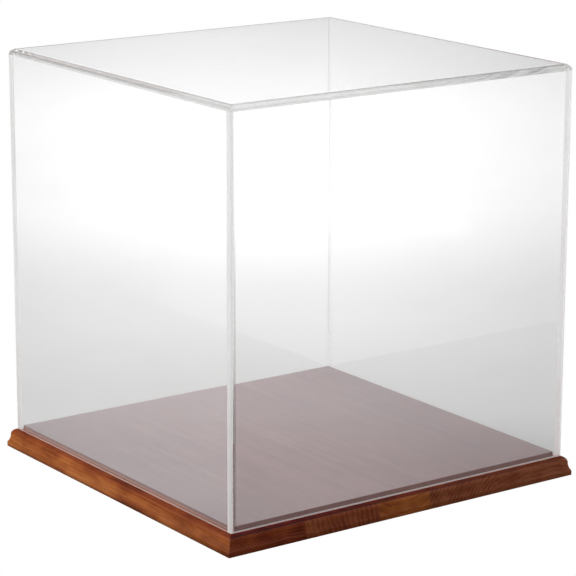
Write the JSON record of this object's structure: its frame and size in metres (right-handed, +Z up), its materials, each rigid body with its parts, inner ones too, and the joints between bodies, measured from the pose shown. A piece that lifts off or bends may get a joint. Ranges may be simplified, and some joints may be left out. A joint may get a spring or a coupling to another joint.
{
  "type": "acrylic display case",
  "caption": "Table-top display case: a clear acrylic box cover with a rounded top rim lifts off a stained hardwood base with a raised platform and a routed ogee edge.",
  "frame": {"origin": "centre of the underside of the base", "axes": "+Z up, -Y towards the front, which is the face where the staves' end grain shows; the staves run along Y"},
  "size_m": [0.3268, 0.3208, 0.3266],
  "materials": {
    "stave_wood_1": "satin",
    "stave_wood_2": "satin",
    "stave_wood_3": "satin",
    "stave_wood_4": "satin",
    "stave_wood_5": "satin",
    "clear_acrylic": "polished"
  },
  "bodies": {
    "base": {"base_stave_1": "stave_wood_1", "base_stave_2": "stave_wood_2", "base_stave_3": "stave_wood_3", "base_stave_4": "stave_wood_4", "base_stave_5": "stave_wood_5"},
    "cover": {"front_panel": "clear_acrylic", "back_panel": "clear_acrylic", "left_panel": "clear_acrylic", "right_panel": "clear_acrylic", "top_panel": "clear_acrylic"}
  },
  "joints": [
    {"name": "cover_lift", "type": "slide", "parent": "base", "child": "cover", "axis": [0, 0, 1], "range_m": [0, 0.32]}
  ]
}
